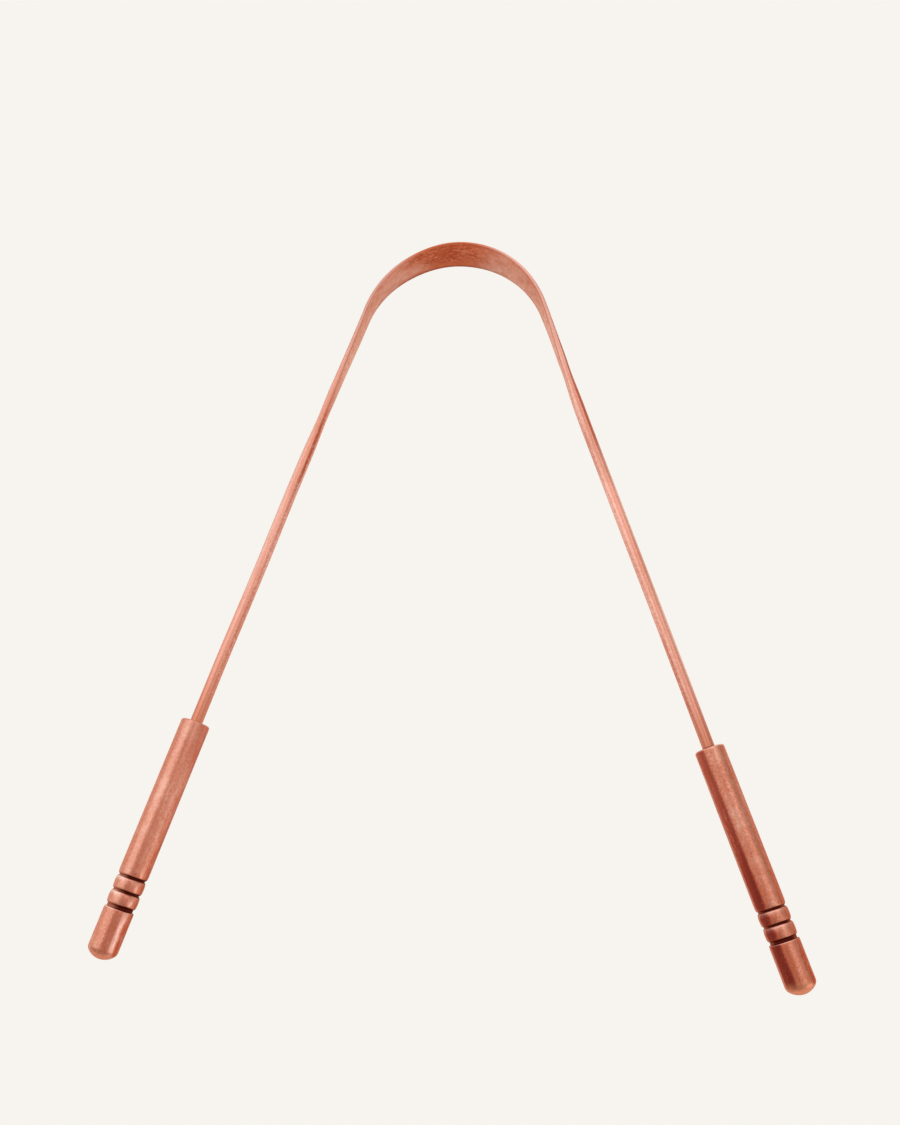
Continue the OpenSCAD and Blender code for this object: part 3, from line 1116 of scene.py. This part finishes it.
def coat_body(coat, on, look):
    """Tan streaks, pale clouds, fine grain, amber towards the beads and by the grooves."""
    age = look.age
    coat(WARM, clamp(0.45 + on.streaks * 0.6 + age))
    coat(TAN, clamp(on.fine * 0.3 + on.streaks * age + on.grainy * 0.5))
    coat(PALE, on.spots * between(0.5, 0.2, on.streaks))
    coat(BROWN, on.specks * (0.15 + age * 0.6))
    coat(GLINT, ramp(on.grain, 0.44, 0.34) * (0.05 + age * 0.5))
    coat(AMBER, ramp(on.along, 0.25, 0.55) * age * 0.5)
    coat(AMBER, on.rust * (0.2 + age))
    # a red stain near the mouth
    stain = ramp(on.along, 0.3, 0.04) * look.mouth_stain
    coat(MAROON, clamp(stain * between(0.5, 1.6, side_band(on.side, STAIN_AT, WIDE_REACH))))


# %% The sides of a handle


def coat_sides(coat, on, look):
    """A dark band, partly tarnish and partly painted shade, painted shade on a flank, and painted
    highlights.
    """
    x, y = on.side
    # a dark band along one side, partly tarnish and partly painted shade, with a brown halo
    # beside it
    wound = (on.along - 0.35) * radians(look.band_twist)
    twisted = x - y * wound, y + x * wound
    band = side_band(twisted, look.band_at, look.band_reach)
    strength = between(look.band_low, look.band_high, ramp(on.along, 0.1, 0.9))
    ragged = clamp(band * (1 + (on.grain - 0.5) * 0.9 + (on.streaks - 0.5) * 0.3))
    halo = side_band(twisted, look.band_at + HALO_TURN, look.band_reach + HALO_TURN)
    halo = halo * strength * between(0.6, 2.2, ramp(on.along, 0.4, 0.9))
    coat(BROWN, clamp(halo * (on.grain + 0.5)) * 0.55)
    coat(MAROON, ramp(ragged * strength, 0.1, 0.8))
    coat(OXIDE, ramp(ragged * strength, 0.5, 1.0) * 0.6)
    on.missed = band * strength
    # a darker dome, partly tarnish and partly painted shade that dulls its highlight
    coat(BROWN, on.dome * clamp(0.25 - look.age * 0.3 + on.specks * 0.3))
    coat(SPECK, on.dome * look.age)
    # painted shade along one flank, darker towards the tip
    shaded = side_band(on.side, look.shaded_at, SHADED_REACH)
    low_down = ramp(on.along, 0.3, 1) * (1.1 + look.age * 1.5)
    coat(BROWN, shaded * between(0.2, 0.5, on.fine) * (1 + low_down))
    # painted highlights: a bright stripe near the tip, and a thin bright line on the left
    # handle's barrel
    on_tip = ramp(on.along, 0.72, 0.8) * (1 - on.dome)
    stripe = side_band(on.side, look.shaded_at - STRIPE_TURN, STRIPE_REACH) * on_tip
    coat(GLINT, stripe * between(look.tip_glint, look.tip_glint * 0.4, on.fine))
    thin = side_band(on.side, look.glint_at + LINE_TURN, STRIPE_REACH) * (1 - on_tip)
    coat(GLINT, thin * max(0, 0.24 - look.age * 0.6))


# %% The lips and grooves of a handle


def coat_lips(coat, on, look):
    """Painted highlights on the shoulders and the mouth's rim, and dirt that creeps up the
    grooves.
    """
    age = look.age
    # painted highlights on the bead shoulders and the mouth's rim; the same mask smooths them
    bright = ramp(on.rise, 0.03, 0.22) * (1 - on.groove * 0.8) * on.on_beads
    glint_side = side_band(on.side, look.glint_at, WIDE_REACH)
    glints = between(0.1, 1.4 - age * 2.5, glint_side)
    glints = glints + ramp(glint_side, 0.6, 0.9) * max(0, 0.7 - age * 1.75)
    rim = ramp(on.along * (HANDLE_L / MOUTH_ROUND), 0.8, 0.25)
    on.polished = clamp(bright * glints * (1 - on.rust * age * 1.5) + rim * (0.2 + age))
    coat(GLINT, on.polished * (1 - on.missed * 0.5))
    grimy = between(0.35, 1.25, side_band(on.side, look.dirty_at, WIDE_REACH))
    coat(OXIDE, on.deep * clamp(grimy + on.patchy * 0.6 - 0.3))


# %% The handles' copper


def handle_copper(look):
    tree, coat, finish = new_metal(look.name, FRESH)
    on = rod_masks(tree, look.seed)
    for stage in (coat_body, coat_sides, coat_lips):
        stage(coat, on, look)
    rough = between(0.28, 0.40, on.fine_lines) + on.grainy * 0.05 + on.deep * 0.2
    height = on.fine_lines * 0.3 + on.lines + on.grain * 0.3 - on.hairs * 0.3
    return finish(rough - on.polished * 0.1, height, 0.008 * MM)


wire_material = wire_copper()
handle_material = {side: handle_copper(LOOK[side]) for side in SIDES}
print("materials", wire_material.name, *(look.name for look in LOOK.values()))

# %% The bow and the handles as pieces
PIECE_NODE = {LEFT: "left_handle", RIGHT: "right_handle"}


def new_piece(name, mesh, node):
    """A piece that takes a CAD node's place and rides with it."""
    piece = new_object(name, mesh)
    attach(piece, "root")
    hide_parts(node)
    print(name, "faces", len(mesh.polygons))


bow_mesh = grown_mesh(centre_line, bow_tree(wire_material), {
    "Crown place": crown_place, "Rest turn": (REST_TILT, 0, 0),
    "Rest place": tuple(REST_PLACE), "Material": wire_material})
new_piece("hammered_bow", bow_mesh, "bow")

# %% Handles on their legs


def rest_of_handle(side):
    """Turn and place that put a rod drawn along Z on its leg, mouth first."""
    lean = LEG_LEAN + HANDLE_TURN[side]
    turn = Euler((pi / 2, 0, side * lean)).to_matrix()
    tilt = Euler((REST_TILT, 0, 0)).to_matrix()
    mouth = wire_place(side, abs(mouth_s[side]))
    return (tilt @ turn).to_euler(), tilt @ mouth + REST_PLACE


rod = rod_tree(handle_material[LEFT])
for side in SIDES:
    turn, place = rest_of_handle(side)
    mesh = grown_mesh(outline_object("outline", hand_turned(outline, side)), rod, {
        "Rest turn": tuple(turn), "Rest place": tuple(place),
        "Seed": 5.0 + 3 * side, "Material": handle_material[side]})
    name = PIECE_NODE[side]
    new_piece("turned_" + name, mesh, name)

# %% [markdown]
# ## Table, light and camera
#
# The photo shows the tool on near-white paper with no shadow, so the table is a large pale plane.
# Five soft boxes stand round the tool, because a polished rod shows its surroundings as stripes.
# The left box lights the left sides, the top box makes the wide bright stripe, and the dim gap
# between the two is the darker stripe. The back box fills the hollow face of the arch. The small
# right box picks out the right flanks and the bead ends, and a weak one above it keeps the
# flanks between two stripes from going dull.

# %% The table
PAPER = (0.93, 0.905, 0.863, 1)
TABLE_SHADE = (0.93, 0.90, 0.87, 1)
TABLE_HALF = 3


def by_eye(tree, lit, seen):
    """One shader for the light that bounces about, and another for what the camera sees."""
    mixed = tree.nodes.new("ShaderNodeMixShader")
    plug(add_node(tree, "ShaderNodeLightPath", output="Is Camera Ray"), mixed.inputs[0])
    plug(lit, mixed.inputs[1])
    plug(seen, mixed.inputs[2])
    return Term(tree, mixed.outputs[0])


def paper_material():
    material = bpy.data.materials.new("paper")
    material.use_nodes = True
    tree = material.node_tree
    tree.nodes.clear()
    paper = add_node(tree, "ShaderNodeBsdfPrincipled", {
        "Base Color": TABLE_SHADE, "Roughness": 0.9, "Emission Color": TABLE_SHADE,
        "Emission Strength": 0.12})
    glow = add_node(tree, "ShaderNodeEmission", {"Color": PAPER, "Strength": 1.0})
    end = tree.nodes.new("ShaderNodeOutputMaterial")
    plug(by_eye(tree, paper, glow), end.inputs["Surface"])
    return material


corners = [(TABLE_HALF * x, TABLE_HALF * y, 0) for x, y in ((-1, -1), (1, -1), (1, 1), (-1, 1))]
table_mesh = bpy.data.meshes.new("table")
table_mesh.from_pydata(corners, [], [(0, 1, 2, 3)])
table_mesh.materials.append(paper_material())
new_object("table", table_mesh)

# %% Lights


def soft_box(name, place, aim, size, strength, tint=(1, 1, 1)):
    """A rectangular light that faces a point; strength is its brightness, white paper is 1."""
    light = bpy.data.lights.new(name, "AREA")
    light.shape = "RECTANGLE"
    light.size, light.size_y = size
    light.energy = strength * pi * size[0] * size[1]
    light.color = tint
    lamp = new_object(name, light)
    lamp.location = place
    lamp.rotation_euler = (Vector(place) - Vector(aim)).to_track_quat("Z", "Y").to_euler()
    lamp.visible_camera = False


soft_box("left_box", (-0.41, 0.14, 0.433), (0.0, 0.0, 0), (0.58, 0.90), 0.64)
soft_box("back_box", (0.05, 0.50, 0.42), (0.0, 0.0, 0), (0.90, 0.50), 0.74, (1, 0.90, 0.86))
soft_box("top_box", (0.26, 0.10, 0.62), (0.02, 0.0, 0), (0.68, 0.34), 0.61, (1, 0.89, 0.86))
soft_box("fill_box", (0.47, -0.13, 0.34), (0.0, 0.0, 0), (0.30, 0.30), 0.25)
soft_box("right_box", (0.43, -0.33, 0.13), (0.0, -0.05, 0), (0.24, 0.24), 1.2)

# %% The room
ROOM_DIM = (0.58, 0.48, 0.43, 1)
world = bpy.data.worlds.new("room")
scene.world = world
world.use_nodes = True
room = world.node_tree
room.nodes.clear()
far_wall = add_node(room, "ShaderNodeBackground", {"Color": PAPER, "Strength": 1.0})
dim_wall = add_node(room, "ShaderNodeBackground", {"Color": ROOM_DIM, "Strength": 1.0})
sky = room.nodes.new("ShaderNodeOutputWorld")
plug(by_eye(room, dim_wall, far_wall), sky.inputs["Surface"])

# %% [markdown]
# The camera looks down at the tool from about 23 cm, leaning 20 degrees, as in the photo. Its
# place was fitted to the outlines of the legs and handles.

# %% The camera
LENS_PX = 1137
FRAME_H_PX = 1125
SENSOR_MM = 36
camera_data = bpy.data.cameras.new("photo_camera")
camera_data.sensor_width = SENSOR_MM
camera_data.lens = LENS_PX * SENSOR_MM / FRAME_H_PX
camera = new_object("photo_camera", camera_data)
camera.location = (5.170 * MM, -72.864 * MM, 216.433 * MM)
camera.rotation_euler = [radians(a) for a in (19.7609, 1.2574, 1.0657)]
camera_data.clip_start = 0.01
scene.camera = camera
scene.view_settings.view_transform = "Standard"
